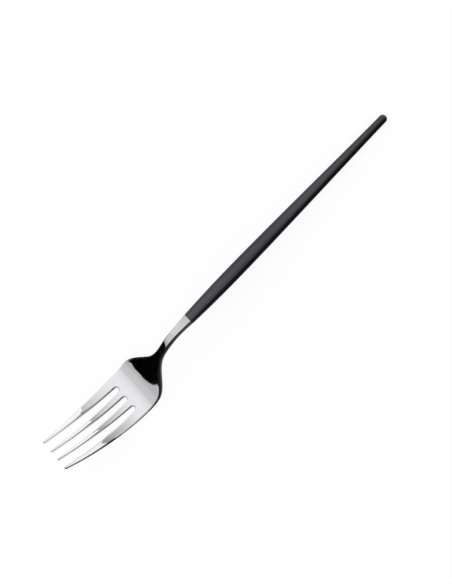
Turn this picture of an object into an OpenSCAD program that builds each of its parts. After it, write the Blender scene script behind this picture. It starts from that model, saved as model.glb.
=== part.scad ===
// Dinner fork with a forged stainless head and a slim moulded handle cemented on its tang.
// It is drawn along the handle's own axis, then tipped to the way it lies on a table, tines up.

/* [Handle] */
// Length of the handle, from its round end to the steel shoulder
handle_l = 127; // [105:0.5:150]
// Width of the handle at its widest place
handle_w = 6.7; // [5.6:0.1:9]
// Thickness of the handle at its widest place
handle_t = 4.6; // [4:0.1:6.5]
// Corner radius of the handle at its widest place
handle_edge = 1.9; // [1:0.1:2]
// Distance of the widest place from the handle's end
handle_belly = 97; // [60:1:103]
// Diameter of the handle's round end
handle_end_d = 3.8; // [3:0.1:4.6]

/* [Neck] */
// Width of the steel shoulder that the handle butts against
shoulder_w = 4.7; // [4.3:0.1:5.4]
// Thickness of the steel shoulder
shoulder_t = 3.6; // [3.3:0.1:3.9]
// Edge radius at the shoulder, on the steel and on the handle's mouth
shoulder_edge = 0.5; // [0.3:0.05:0.7]
// Length from the shoulder to the narrowest place of the neck
neck_l = 18.7; // [12:0.1:30]
// Width of the neck at its narrowest place
neck_w = 3.5; // [3:0.05:4.2]
// Thickness of the neck at its narrowest place
neck_t = 3.1; // [2.6:0.1:3.6]

/* [Bowl] */
// Length from the narrowest neck to the straight sides of the slots
bowl_l = 30.7; // [26:0.1:34]
// Width of the bowl
bowl_w = 25.4; // [22:0.1:28]
// Thickness of the bowl
bowl_t = 2; // [1.8:0.1:2.6]
// Edge radius round the bowl and along the tines
bowl_edge = 0.7; // [0.4:0.05:0.8]
// Height that the spine falls from the handle's axis to the bowl
bowl_drop = 12.1; // [8:0.1:15]
// Hollow of the bowl across its width
bowl_dish = 0.5; // [0.3:0.1:1.6]

/* [Tines] */
// Length of the tines, from the straight sides of the slots to the tips
tine_l = 39; // [34:0.1:48]
// Height that the spine climbs again to the tips
tine_rise = 13.5; // [9:0.1:17]
// Distance across the four tips
tips_w = 17.6; // [16.8:0.1:20]
// Distance between the middle lines of the two inner tips
tip_pitch = 5.2; // [4.8:0.1:5.6]
// Width of each tip
tip_w = 1.1; // [0.9:0.05:1.3]
// Thickness of each tip
tip_t = 1.2; // [1:0.1:1.6]
// Hollow across the four tips
tip_dish = 0.3; // [0:0.1:0.8]
// Width of an outer tine at its root
outer_root_w = 4.85; // [4:0.05:5.2]
// Width of an inner tine at its root
inner_root_w = 3.3; // [2.8:0.1:3.6]

/* [Tang] */
// Length of the tang inside the handle
tang_l = 62; // [45:1:80]
// Width of the tang
tang_w = 2.8; // [2.2:0.1:3]
// Thickness of the tang
tang_t = 1.9; // [1.4:0.1:2.1]
// Length of the tang's tapered lead-in
tang_lead_l = 4; // [2:0.5:6]
// Width that the lead-in loses on each side
tang_lead_w = 0.6; // [0.3:0.1:0.8]
// Number of keying notches along each side of the tang
notches = 4; // [2:1:5]
// Length of a notch
notch_l = 3; // [2:0.5:4]
// Depth of a notch
notch_depth = 0.4; // [0.2:0.05:0.5]
// Distance between the middles of two notches
notch_pitch = 11; // [8:0.5:12]
// Distance of the first notch's middle from the shoulder
notch_start = 14; // [10:0.5:18]
// Thickness of the cement all round the tang
cement_gap = 0.2; // [0.1:0.05:0.25]
// Depth of the cement beyond the tang's end
cement_end = 1.5; // [0.5:0.5:3]

/* [Hidden] */

steel = [0.78, 0.78, 0.8];
resin = [0.07, 0.07, 0.075];
cement = [0.82, 0.78, 0.66];

// Places along the handle's axis, counted from the handle's end
shoulder_u = handle_l;
neck_u = shoulder_u + neck_l;
root_u = neck_u + bowl_l;
tip_u = root_u + tine_l;
tip_r = tip_w / 2;
tip_round_u = tip_u - tip_r;

// Where the curves start and end, as shares of the neck and bowl together
body_l = neck_l + bowl_l;
settle_share = 0.985;
rise_share = 0.82;
taper_share = 0.81;
flare_share = 0.365;
settle_u = shoulder_u + settle_share * body_l;
rise_u = shoulder_u + rise_share * body_l;
taper_u = shoulder_u + taper_share * body_l;
flare_u = shoulder_u + flare_share * body_l;

// How each curve leaves its start and nears its end, as the two powers of ease()
fall_powers = [2.74, 3.82];
rise_powers = [2, 1];
taper_powers = [2, 1];
outer_powers = [1.27, 1];
flare_powers = [3.2, 18.4];
thinning_powers = [2, 4];
neck_powers = [1, 2.5];
even_powers = [1, 1];
swell_powers = [1.3, 1.6];
waist_powers = [2.2, 1];
softening_powers = [1, 3];

// Width of a slot at the root, the same for all three
slot_w = (2 * half_w(root_u) - 2 * outer_root_w - 2 * inner_root_w) / 3;
inner_root_pitch = slot_w + inner_root_w;
tip_edge_share = 0.45;
tip_edge = tip_edge_share * min(tip_w, tip_t);

// Mesh steps
slope_step = handle_end_d / 100;
body_rows = 26;
body_row_power = 0.8;
tine_rows = 16;
slot_cells = 7;
tine_cells = 4;
rim_cells = 3;
warp_l = 2.5 * slot_w;
warp_power = 3;
root_gap_share = 0.05;
handle_rows = 44;
end_rows = 7;
corner_cells = 6;

// The handle end's radius, and how far the tang's seat overlaps into the steel shoulder
end_r = handle_end_d / 2;
seat_overlap = neck_l / 4;
socket_w = tang_w + 2 * cement_gap;
socket_t = tang_t + 2 * cement_gap;
socket_l = tang_l + cement_end;
cut_overrun = cement_end;

// A number held between 0 and 1
function held(x) = min(1, max(0, x));

// The value a share s of the way from a to b
function mix(a, b, s) = a + (b - a) * s;

// 0 before place a, 1 after place b, and a smooth climb between, shaped by two powers
function ease(u, a, b, powers) = 1 - pow(1 - pow(held((u - a) / (b - a)), powers[0]), powers[1]);

// How far along the neck, the flare and the tines a place lies
function neck_way(u) = ease(u, shoulder_u, neck_u, neck_powers);
function flare_way(u) = ease(u, flare_u, root_u, flare_powers);
function thin_way(u) = ease(u, flare_u, root_u, thinning_powers);
function tine_way(u) = ease(u, root_u, tip_u, even_powers);

// Height of the spine, the middle of the metal, over the handle's axis
function spine_z(u) =
    tine_rise * ease(u, rise_u, tip_u, rise_powers)
    - bowl_drop * ease(u, shoulder_u, settle_u, fall_powers);

function spine_angle(u) = atan((spine_z(u + slope_step) - spine_z(u - slope_step)) / (2 * slope_step));

// Half the width of the steel, from the shoulder to the tips
function half_w(u) =
    mix(shoulder_w, neck_w, neck_way(u)) / 2
    + (bowl_w - neck_w) / 2 * flare_way(u)
    - (bowl_w - tips_w) / 2 * ease(u, taper_u, tip_u, taper_powers);

// Thickness, edge radius and hollow of the steel
function steel_t(u) =
    mix(mix(mix(shoulder_t, neck_t, neck_way(u)), bowl_t, thin_way(u)), tip_t, tine_way(u));
function steel_edge(u) = mix(mix(shoulder_edge, bowl_edge, flare_way(u)), tip_edge, tine_way(u));
function steel_dish(u) = mix(bowl_dish * flare_way(u), tip_dish, tine_way(u));

// Distance from the middle line to a tine's outer or inner side: tines count 0 to 3 from -Y
function outer_tine_w(u) = mix(outer_root_w, tip_w, ease(u, root_u, tip_u, outer_powers));
function inner_tine_w(u) = mix(inner_root_w, tip_w, tine_way(u));
function inner_tine_mid(u) = mix(inner_root_pitch, tip_pitch, tine_way(u)) / 2;
function tine_side_v(tine, side, u) =
    tine == 0 ? (side < 0 ? -half_w(u) : outer_tine_w(u) - half_w(u)) :
    tine == 1 ? side * inner_tine_w(u) / 2 - inner_tine_mid(u) :
    tine == 2 ? side * inner_tine_w(u) / 2 + inner_tine_mid(u) :
    (side < 0 ? half_w(u) - outer_tine_w(u) : half_w(u));

// A point of the steel: u along the axis, v across, n out of the middle of the metal
function steel_point(u, v, n) =
    let (angle = spine_angle(u), out = n + steel_dish(u) * pow(v / half_w(u), 2))
    [u - sin(angle) * out, v, spine_z(u) + cos(angle) * out];

// The rounded edge from the top face to the bottom face, at an outline point with its inward direction
function rim(point, inward) =
    let (u = point[0], r = steel_edge(u), t = steel_t(u))
    [for (face = [1, -1], i = [0 : rim_cells])
        let (turn = 90 * (face > 0 ? i : rim_cells - i) / rim_cells, inset = r * (1 - sin(turn)))
        steel_point(u + inward[0] * inset, point[1] + inward[1] * inset,
            face * (t / 2 - r * (1 - cos(turn))))];

function unit(a) = a / norm(a);

// The rim at a side of a tine; the outer sides of the outer tines run on down to the shoulder
function side_rim(tine, side, u) =
    let (climb = (tine_side_v(tine, side, u + slope_step) - tine_side_v(tine, side, u - slope_step))
        / (2 * slope_step))
    rim([u, tine_side_v(tine, side, u)], unit([side * climb, -side]));

// The rims round a half circle from one side rim to the next: a slot's bottom, or a tine's tip
function arc_rims(centre, r, cells, inward) =
    [for (i = [1 : cells - 1])
        let (turn = 180 * i / cells, out = [sin(turn), -cos(turn)])
        rim(centre + r * [-inward * out[0], out[1]], [-inward * out[0], out[1]] * inward)];

function slot_arc(slot) =
    let (a = tine_side_v(slot, 1, root_u), b = tine_side_v(slot + 1, -1, root_u))
    [side_rim(slot, 1, root_u),
        each arc_rims([root_u, (a + b) / 2], (b - a) / 2, slot_cells, 1),
        side_rim(slot + 1, -1, root_u)];

function tip_arc(tine) =
    let (a = tine_side_v(tine, -1, tip_round_u), b = tine_side_v(tine, 1, tip_round_u))
    [side_rim(tine, -1, tip_round_u),
        each arc_rims([tip_round_u, (a + b) / 2], (b - a) / 2, tine_cells, -1),
        side_rim(tine, 1, tip_round_u)];

// A row of points across a tine on one face, between its two side rims
function tine_row(tine, u, face) =
    let (a = side_rim(tine, -1, u), b = side_rim(tine, 1, u), end = face > 0 ? 0 : len(a) - 1,
        r = steel_edge(u), va = tine_side_v(tine, -1, u) + r, vb = tine_side_v(tine, 1, u) - r)
    [a[end],
        for (i = [1 : tine_cells - 1])
            steel_point(u, mix(va, vb, i / tine_cells), face * steel_t(u) / 2),
        b[end]];

// The last row of the body, which runs across the four roots and round the three slot bottoms
function root_row(face) =
    let (end = face > 0 ? 0 : 2 * rim_cells + 1)
    [for (tine = [0 : 3])
        each [each tine_row(tine, root_u, face),
            if (tine < 3) each [for (i = [1 : slot_cells - 1]) slot_arc(tine)[i][end]]]];

// How far the rounded edge's inner line lies along the axis from its own row
function edge_bow(u) =
    let (climb = (half_w(u + slope_step) - half_w(u - slope_step)) / (2 * slope_step))
    steel_edge(u) * unit([climb, -1])[0];

// Any other row of the body: the root row drawn in to the body's width there, and less and less bent
function body_row(u, face, root) =
    let (a = side_rim(0, -1, u), b = side_rim(3, 1, u), end = face > 0 ? 0 : len(a) - 1,
        last = len(root) - 1, pull = pow(held((u - root_u + warp_l) / warp_l), warp_power))
    [a[end],
        for (i = [1 : last - 1])
            let (share = root[i][1] / root[last][1],
                bow = edge_bow(u) * share * share + pull * (root[i][0] - root[0][0]))
            steel_point(u + bow, share * b[end][1], face * steel_t(u) / 2),
        b[end]];

body_us = [for (i = [0 : body_rows - 1])
    mix(shoulder_u, root_u, (1 - root_gap_share) * pow(i / (body_rows - 1), body_row_power))];
tine_us = [for (i = [0 : tine_rows]) mix(root_u, tip_round_u, i / tine_rows)];

// The patches of the steel's skin: each is rows of points, and flips if its rows run the other way
function face_patches(face) =
    let (root = root_row(face))
    [[[for (u = body_us) body_row(u, face, root), root], face > 0],
        for (tine = [0 : 3])
            let (end = face > 0 ? 0 : 2 * rim_cells + 1)
            [[for (i = [0 : tine_rows - 1]) tine_row(tine, tine_us[i], face),
                [for (column = tip_arc(tine)) column[end]]], face > 0]];

function edge_patches() =
    [for (side = [-1, 1])
        [[for (u = body_us) side_rim(side < 0 ? 0 : 3, side, u),
            side_rim(side < 0 ? 0 : 3, side, root_u)], side > 0],
        for (tine = [0 : 3], side = [-1, 1]) [[for (u = tine_us) side_rim(tine, side, u)], side > 0],
        for (slot = [0 : 2]) [slot_arc(slot), false],
        for (tine = [0 : 3]) [tip_arc(tine), false]];

// The flat end of the steel at the shoulder, as one ring of points
function shoulder_ring() =
    let (top = body_row(shoulder_u, 1, root_row(1)), bottom = body_row(shoulder_u, -1, root_row(-1)),
        left = side_rim(0, -1, shoulder_u), right = side_rim(3, 1, shoulder_u), last = len(left) - 1)
    [each top, for (i = [1 : last - 1]) right[i],
        for (i = [len(bottom) - 1 : -1 : 0]) bottom[i], for (i = [last - 1 : -1 : 1]) left[i]];

// Two triangles for each cell of a patch that starts at a given point number
function patch_faces(rows, columns, start, flip) =
    [for (r = [0 : rows - 2], c = [0 : columns - 2])
        let (p = start + r * columns + c, q = p + columns)
        each flip ? [[p, p + 1, q + 1], [p, q + 1, q]] : [[p, q + 1, p + 1], [p, q, q + 1]]];

function points_before(patches, k) = k == 0 ? 0 :
    points_before(patches, k - 1) + len(patches[k - 1][0]) * len(patches[k - 1][0][0]);

// One closed solid from patches that meet point for point, and one ring that closes an end
module skin(patches, ring) {
    points = [for (patch = patches) each [for (row = patch[0]) each row], each ring];
    ring_start = len(points) - len(ring);
    polyhedron(points, [
        for (k = [0 : len(patches) - 1])
            each patch_faces(len(patches[k][0]), len(patches[k][0][0]),
                points_before(patches, k), patches[k][1]),
        [for (i = [len(ring) - 1 : -1 : 0]) ring_start + i]]);
}

// Width, thickness and corner radius of the handle along its straight stretch
function handle_size(u, end, belly, mouth) =
    u < handle_belly ? mix(end, belly, ease(u, end_r, handle_belly, swell_powers)) :
    mix(belly, mouth, ease(u, handle_belly, shoulder_u, waist_powers));

function corner_size(u) =
    u < handle_belly ? mix(end_r, handle_edge, ease(u, end_r, handle_belly, softening_powers)) :
    mix(handle_edge, shoulder_edge, ease(u, handle_belly, shoulder_u, waist_powers));

// A ring of the handle: a rectangle with round corners, in the plane across its axis
function handle_ring(u, w, t, r) =
    [for (corner = [0 : 3], i = [0 : corner_cells])
        let (turn = 90 * (corner + i / corner_cells),
            sign_y = corner == 0 || corner == 3 ? 1 : -1, sign_z = corner < 2 ? 1 : -1)
        [u, sign_y * (w / 2 - r) + r * cos(turn), sign_z * (t / 2 - r) + r * sin(turn)]];

module handle_body() {
    near_full = 0.999;
    straight = [for (i = [0 : handle_rows])
        let (u = mix(end_r, shoulder_u, i / handle_rows),
            w = handle_size(u, handle_end_d, handle_w, shoulder_w),
            t = handle_size(u, handle_end_d, handle_t, shoulder_t))
        handle_ring(u, w, t, min(corner_size(u), near_full * min(w, t) / 2))];
    round_end = [for (i = [0 : end_rows - 1])
        let (turn = 90 * (i + 1 / end_rows) / end_rows, d = handle_end_d * sin(turn))
        handle_ring(end_r * (1 - cos(turn)), d, d, near_full * d / 2)];
    rings = concat(round_end, straight);
    columns = len(rings[0]);
    last = len(rings) - 1;
    polyhedron([for (ring = rings) each ring], [
        for (r = [0 : last - 1], c = [0 : columns - 1])
            let (p = r * columns + c, q = r * columns + (c + 1) % columns)
            each [[p, q + columns, q], [p, p + columns, q + columns]],
        [for (c = [0 : columns - 1]) c],
        [for (c = [columns - 1 : -1 : 0]) last * columns + c]]);
}

// The tang: a flat bar with a tapered lead-in and notches along both sides
module tang() {
    side = tang_w / 2;
    lead = side - tang_lead_w;
    translate([shoulder_u, 0, -tang_t / 2])
        linear_extrude(tang_t)
            difference() {
                polygon([[seat_overlap, -side], [seat_overlap, side], [tang_lead_l - tang_l, side],
                    [-tang_l, lead], [-tang_l, -lead], [tang_lead_l - tang_l, -side]]);
                for (i = [0 : notches - 1], y = [-side, side])
                    translate([-notch_start - i * notch_pitch, y])
                        square([notch_l, 2 * notch_depth], center = true);
            }
}

// The moulded hole in the handle that the tang and its cement fill
module socket(overrun) {
    translate([shoulder_u - socket_l, -socket_w / 2, -socket_t / 2])
        cube([socket_l + overrun, socket_w, socket_t]);
}

// How far the handle end has to tip down for a point under the bowl to come level with it
function tip_angle(u) =
    let (p = steel_point(u, 0, -steel_t(u) / 2), along = p[0] - end_r)
    atan2(-p[2], along) - asin(end_r / norm([along, p[2]]));

rest_angle = max([for (u = concat(body_us, tine_us)) tip_angle(u)]);
lift = end_r * (1 - sin(rest_angle));
tip_point = steel_point(tip_u, 0, 0);
middle_x = (tip_point[0] * cos(rest_angle) - tip_point[2] * sin(rest_angle)
    + end_r * (cos(rest_angle) - 1)) / 2;

// The fork as it lies: handle end and bowl on the table, the middle of its length over the origin
module at_rest() {
    translate([-middle_x, 0, lift])
        rotate([0, -rest_angle, 0])
            children();
}

module fork_head() {
    color(steel)
        at_rest() {
            skin(concat(face_patches(1), face_patches(-1), edge_patches()), shoulder_ring());
            tang();
        }
}

module handle() {
    color(resin)
        at_rest()
            difference() {
                handle_body();
                socket(cut_overrun);
            }
}

module tang_cement() {
    color(cement)
        at_rest()
            difference() {
                socket(0);
                tang();
            }
}

fork_head();
handle();
tang_cement();
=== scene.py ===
# %% [markdown]
# # A dinner fork, two-tone
# The real object is three pieces: a steel head forged in one with its tang, a slim moulded
# handle, and the cement that holds the tang in the handle's socket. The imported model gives
# their places and sizes. This lesson makes finer meshes of the two pieces that show, gives
# every piece its finish, and lights them as a product photographer would.

# %% Open the frame
import bpy
import math
import numpy as np
from mathutils import Matrix, Vector


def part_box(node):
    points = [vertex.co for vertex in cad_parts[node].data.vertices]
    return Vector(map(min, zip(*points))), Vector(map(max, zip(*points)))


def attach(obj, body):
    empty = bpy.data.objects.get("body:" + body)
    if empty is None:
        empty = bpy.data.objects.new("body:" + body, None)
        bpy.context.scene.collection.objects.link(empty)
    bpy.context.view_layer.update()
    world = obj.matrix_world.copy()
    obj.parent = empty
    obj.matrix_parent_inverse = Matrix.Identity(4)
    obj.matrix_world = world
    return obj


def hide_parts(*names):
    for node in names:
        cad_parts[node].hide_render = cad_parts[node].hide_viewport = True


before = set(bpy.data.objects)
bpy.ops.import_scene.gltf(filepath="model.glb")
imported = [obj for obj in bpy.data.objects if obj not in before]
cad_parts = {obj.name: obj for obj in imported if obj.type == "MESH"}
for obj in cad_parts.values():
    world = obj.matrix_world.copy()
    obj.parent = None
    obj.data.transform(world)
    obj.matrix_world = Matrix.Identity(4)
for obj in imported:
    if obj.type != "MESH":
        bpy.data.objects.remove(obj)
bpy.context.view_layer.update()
scene = bpy.context.scene
scene.view_settings.view_transform = "Standard"
MM = 0.001
print("nodes:", sorted(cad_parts))

# %% [markdown]
# ## The camera
# A product photographer stands back and uses a long lens, so that a long thin thing keeps its
# proportions. The direction below was found by setting the model's outline on the photograph's
# outline. Right and up are built from the fork's own axis, which runs from the top right corner
# to the bottom left one. AXIS_RIGHT and AXIS_DOWN say how that axis runs in the picture.

# %% Place the camera
IMAGE_H = 584
AZIMUTH, ELEVATION, ROLL = (math.radians(a) for a in (113.469, 63.948, 1.535))
DISTANCE = 1.0
PIXELS_PER_METRE = 2200.0
AXIS_RIGHT, AXIS_DOWN = -0.69621, 0.71783
AIM_RIGHT, AIM_UP = -0.000296, -0.000293

towards_camera = Vector((math.cos(ELEVATION) * math.cos(AZIMUTH),
                         math.cos(ELEVATION) * math.sin(AZIMUTH), math.sin(ELEVATION)))
along = (Vector((1, 0, 0)) - towards_camera * towards_camera.x).normalized()
across = along.cross(towards_camera)
along, across = (along * math.cos(ROLL) + across * math.sin(ROLL),
                 across * math.cos(ROLL) - along * math.sin(ROLL))
right = along * AXIS_RIGHT - across * AXIS_DOWN
up = -along * AXIS_DOWN - across * AXIS_RIGHT
aim = right * AIM_RIGHT + up * AIM_UP

camera_data = bpy.data.cameras.new("Long lens")
camera_data.sensor_fit = "VERTICAL"
camera_data.sensor_height = 36
camera_data.lens = PIXELS_PER_METRE * DISTANCE * camera_data.sensor_height / IMAGE_H
camera_data.dof.use_dof = False
camera = bpy.data.objects.new("Long lens", camera_data)
place = Matrix((right, up, towards_camera)).transposed().to_4x4()
place.translation = aim + towards_camera * DISTANCE
camera.matrix_world = place
scene.collection.objects.link(camera)
scene.camera = camera
print("lens", round(camera_data.lens, 1), "mm, right x up . back =",
      round(right.cross(up).dot(towards_camera), 4))

# %% [markdown]
# ## The rule of the steel
# A forged fork head follows a spine: level at the neck, down into the bowl, and up again along
# the tines. Width, thickness and edge rounding change smoothly along it. Each of these is one
# curve that starts at one place and ends at another, so one small function, ease, draws them
# all. The numbers, in millimetres, are those of the solid model.

# %% Sizes of the head
HANDLE_L, NECK_L, BOWL_L, TINE_L = 127.0, 18.7, 30.7, 39.0
SHOULDER_W, NECK_W, BOWL_W, TIPS_W = 4.7, 3.5, 25.4, 17.6
SHOULDER_T, NECK_T, BOWL_T, TIP_T = 3.6, 3.1, 2.0, 1.2
SHOULDER_EDGE, BOWL_EDGE, TIP_EDGE = 0.5, 0.7, 0.495
BOWL_DROP, TINE_RISE = 12.1, 13.5
BOWL_DISH, TIP_DISH = 0.5, 0.3
FALL_POWERS, FLARE_POWERS = (2.74, 3.82), (3.2, 18.4)

# Places along the handle's axis, from the handle's end
SHOULDER, NECK, ROOT, TIP = np.cumsum((HANDLE_L, NECK_L, BOWL_L, TINE_L))
BODY = ROOT - SHOULDER
SETTLE, RISE, TAPER, FLARE = SHOULDER + np.array((0.985, 0.82, 0.81, 0.365)) * BODY
STEP = 0.038
print("places:", [round(float(u), 1) for u in (SHOULDER, NECK, FLARE, ROOT, TIP)], "mm")

# %% Curves along the fork


def ease(u, start, end, leave=1.0, arrive=1.0):
    """0 before start, 1 after end, and a smooth climb between."""
    share = np.clip((u - start) / (end - start), 0, 1)
    return 1 - (1 - share ** leave) ** arrive


def spine_z(u):
    climb = TINE_RISE * ease(u, RISE, TIP, 2)
    return climb - BOWL_DROP * ease(u, SHOULDER, SETTLE, *FALL_POWERS)


def flare(u):
    """0 in the neck, 1 in the bowl."""
    return ease(u, FLARE, ROOT, *FLARE_POWERS)


def half_width(u):
    neck = SHOULDER_W - (SHOULDER_W - NECK_W) * ease(u, SHOULDER, NECK, 1, 2.5)
    bowl = neck / 2 + (BOWL_W - NECK_W) / 2 * flare(u)
    return bowl - (BOWL_W - TIPS_W) / 2 * ease(u, TAPER, TIP, 2)


def thickness(u):
    neck = SHOULDER_T - (SHOULDER_T - NECK_T) * ease(u, SHOULDER, NECK, 1, 2.5)
    bowl = neck + (BOWL_T - neck) * ease(u, FLARE, ROOT, 2, 4)
    return bowl + (TIP_T - bowl) * ease(u, ROOT, TIP)


def edge_radius(u):
    bowl = SHOULDER_EDGE + (BOWL_EDGE - SHOULDER_EDGE) * flare(u)
    return bowl + (TIP_EDGE - bowl) * ease(u, ROOT, TIP)


def hollow(u):
    return BOWL_DISH * flare(u) - (BOWL_DISH - TIP_DISH) * ease(u, ROOT, TIP)


for name, u in (("shoulder", SHOULDER), ("neck", NECK), ("root", ROOT), ("tip", TIP)):
    print(name, "width", round(2 * float(half_width(u)), 2),
          "thickness", round(float(thickness(u)), 2))

# %% [markdown]
# ## What the solids leave out
# Two things are too small for the solid model. The tines' faces fall off a little towards their
# edges, and the neck rises and twists by up to 0.3 mm. Neither shows as a shape in the
# photograph. Both are guesses that let the reflections end where the photograph has them.

# %% Crown and neck
CROWN, CROWN_RUN = 0.015, 5
NECK_RISE, RISE_TOP, RISE_END = 0.20, 12.2, 19.4
# Slope across the neck, where each turn starts and ends, from the shoulder, and its power
NECK_TURNS = ((0.080, 13.6, 17.5, 1.3), (-0.052, 5.4, 13.1, 2), (-0.028, 17.6, 25.7, 2))


def crown(u):
    """How far a tine's faces fall off towards its edges."""
    return CROWN * ease(u, ROOT, ROOT + CROWN_RUN)


def forged(u, v):
    """The neck's rise and twist: at most 0.29 mm up and 0.04 mm down."""
    rise = (ease(u, SHOULDER, SHOULDER + RISE_TOP, 2, 2)
            - ease(u, SHOULDER + RISE_TOP, SHOULDER + RISE_END, 2, 1.5))
    turn = sum(slope * ease(u, SHOULDER + start, SHOULDER + end, power, power)
               for slope, start, end, power in NECK_TURNS)
    return NECK_RISE * rise + turn * v


print("neck raised by up to", NECK_RISE, "mm along its middle line")

# %% [markdown]
# ## A point of the steel, and which way it faces
# A mirror finish shows every error in a surface, so the directions that shading uses are worked
# out from the rule itself and not averaged from the faces. A point is found from its place
# along the fork, its place across, and its height out of the middle of the metal. An edge mark
# goes with each point. It is 0 on the top face, runs from 0 to 1 and from 2 to 3 round the edge,
# and is 3 on the bottom face. The finish reads it.

# %% Points and directions
BOTTOM_MARK, TANG_MARK = 3.0, 1.5


def steel_point(u, v, n):
    """Points of the steel, in millimetres along the handle's axis."""
    u, v, n = np.broadcast_arrays(u, v, n)
    slope = np.arctan((spine_z(u + STEP) - spine_z(u - STEP)) / (2 * STEP))
    out = n + hollow(u) * (v / half_width(u)) ** 2 + forged(u, v)
    return np.stack((u - np.sin(slope) * out, v, spine_z(u) + np.cos(slope) * out), -1)


def unit(a):
    return a / np.linalg.norm(a, axis=-1, keepdims=True)


def steel_axes(u, v):
    """Directions along, across and out of the middle of the metal."""
    ahead = unit(steel_point(u + STEP, v, 0) - steel_point(u - STEP, v, 0))
    aside = unit(steel_point(u, v + STEP, 0) - steel_point(u, v - STEP, 0))
    return ahead, aside, unit(np.cross(ahead, aside))


def face_patch(u, v, face, share, span):
    """Points on the top face (1) or the bottom face (-1): places, directions and edge mark."""
    u, v, share, span = np.broadcast_arrays(u, v, share, span)
    ahead, aside, out = steel_axes(u, v)
    normals = unit(face * out + aside * (2 * crown(u) * share / span)[..., None])
    points = steel_point(u, v, face * (thickness(u) / 2 - crown(u) * share ** 2))
    return points, normals, np.full(u.shape, 0.0 if face > 0 else BOTTOM_MARK)


def rim_patch(u, v, inward, span, cells=8):
    """For each outline point, the rounded edge from the top face to the bottom face."""
    quarter = np.linspace(0, 90, cells + 1)
    turn = np.radians(np.concatenate((quarter, quarter[::-1])))
    face = np.repeat((1, -1), cells + 1)
    r, t = edge_radius(u)[:, None], thickness(u)[:, None]
    inset = r * (1 - np.sin(turn))
    pu, pv = u[:, None] + inward[:, :1] * inset, v[:, None] + inward[:, 1:] * inset
    ahead, aside, out = steel_axes(pu, pv)
    away = unit(-inward[:, None, :1] * ahead - inward[:, None, 1:] * aside)
    points = steel_point(pu, pv, face * (t / 2 - crown(u)[:, None] - r * (1 - np.cos(turn))))
    lean = np.arctan(2 * crown(u) / span)[:, None]
    facing = lean + turn * (1 - lean * 2 / np.pi)
    normals = out * (face * np.cos(facing))[..., None] + away * np.sin(facing)[..., None]
    mark = np.where(face > 0, np.sin(turn), BOTTOM_MARK - np.sin(turn))
    return points, unit(normals), np.broadcast_to(mark, pu.shape)


print("a point under the bowl:", steel_point(ROOT - 5, 0.0, -BOWL_T / 2).round(2))

# %% [markdown]
# ## Four tines and three slots
# The slots are punched out of the forged blank and then ground, so they end in half circles and
# the tines taper to blunt, rounded tips. Each tine has a left and a right side. The outline is
# walked along those sides, round each slot's end and round each tip.

# %% Sides, slot ends and tips
OUTER_W, INNER_W, TIP_W, TIP_PITCH = 4.85, 3.3, 1.1, 5.2
SLOT_W = (2 * half_width(ROOT) - 2 * OUTER_W - 2 * INNER_W) / 3
TIP_ROUND = TIP - TIP_W / 2
# A step past the root, small enough not to move a point, that picks a tine's own width
PAST_ROOT = 1e-6


def tine_side(tine, side, u):
    """Distance from the middle line to a tine's side: tines 0 to 3 from -Y, side -1 or 1."""
    if tine in (0, 3):
        width = OUTER_W + (TIP_W - OUTER_W) * ease(u, ROOT, TIP, 1.3)
        outside = -1 if tine == 0 else 1
        return outside * (half_width(u) - (0 if side == outside else width))
    width = INNER_W + (TIP_W - INNER_W) * ease(u, ROOT, TIP)
    middle = (SLOT_W + INNER_W + (TIP_PITCH - SLOT_W - INNER_W) * ease(u, ROOT, TIP)) / 2
    return side * width / 2 + (middle if tine == 2 else -middle)


def side_inward(tine, side, u):
    climb = (tine_side(tine, side, u + STEP) - tine_side(tine, side, u - STEP)) / (2 * STEP)
    return unit(np.stack((side * climb, -side * np.ones_like(u)), -1))


def half_span(tine, u):
    """Half the flat width of a tine, or of the whole body before the roots."""
    whole = half_width(u) - edge_radius(u)
    one = (tine_side(tine, 1, u) - tine_side(tine, -1, u)) / 2 - edge_radius(u)
    return np.where(u > ROOT, one, whole)


def side_patch(tine, side, u):
    return rim_patch(u, tine_side(tine, side, u), side_inward(tine, side, u), half_span(tine, u))


def arc_outline(a, b, u, cells, hand):
    """A half circle from side a to side b: hand 1 bends back round a slot, -1 on round a tip."""
    turn = np.radians(np.linspace(0, 180, cells + 1))[1:-1]
    out = np.stack((-hand * np.sin(turn), -np.cos(turn)), -1)
    radius = (b - a) / 2
    us = np.broadcast_to(u, turn.shape) + radius * out[:, 0]
    return us, (a + b) / 2 + radius * out[:, 1], hand * out


def arc_patch(first, last, cells, hand, u):
    """The rounded edge round a slot's end or a tip, its two end columns shared with the sides."""
    a, b = tine_side(*first, u), tine_side(*last, u)
    span = half_span(first[0], np.array(u + PAST_ROOT))
    middle = rim_patch(*arc_outline(a, b, u, cells, hand), span)
    ends = [side_patch(*end, np.array([u])) for end in (first, last)]
    return tuple(np.concatenate((ends[0][i], middle[i], ends[1][i])) for i in range(3))


print("slot", round(float(SLOT_W), 2), "mm wide at the root")

# %% [markdown]
# ## The skin, patch by patch
# The head is one skin. It is made of patches that are plain rows of points: the top and bottom
# of the body and of each tine, the rounded edges, the slot ends and the tips. Merging equal
# points sews patches together where they share border points. It doesn't close the skin. Along
# the rounded edges the points of the two sides differ, so slits up to 0.015 mm wide stay open
# there, and the count printed below says how many edges they have. The last rows of the body
# bend with the half circles of the slots.

# %% Rows across the body
TINE_CELLS, SLOT_CELLS, TIP_CELLS = 10, 18, 10
BODY_ROWS, TINE_ROWS = 120, 100
# The last row but one, as a share of the body, and the power that spaces the rows
LAST_ROW, CROWDING = 0.985, 0.85
# How many slot widths before the roots the rows begin to bend
WARP = 2.5
FACE_END = {1: 0, -1: -1}


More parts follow.
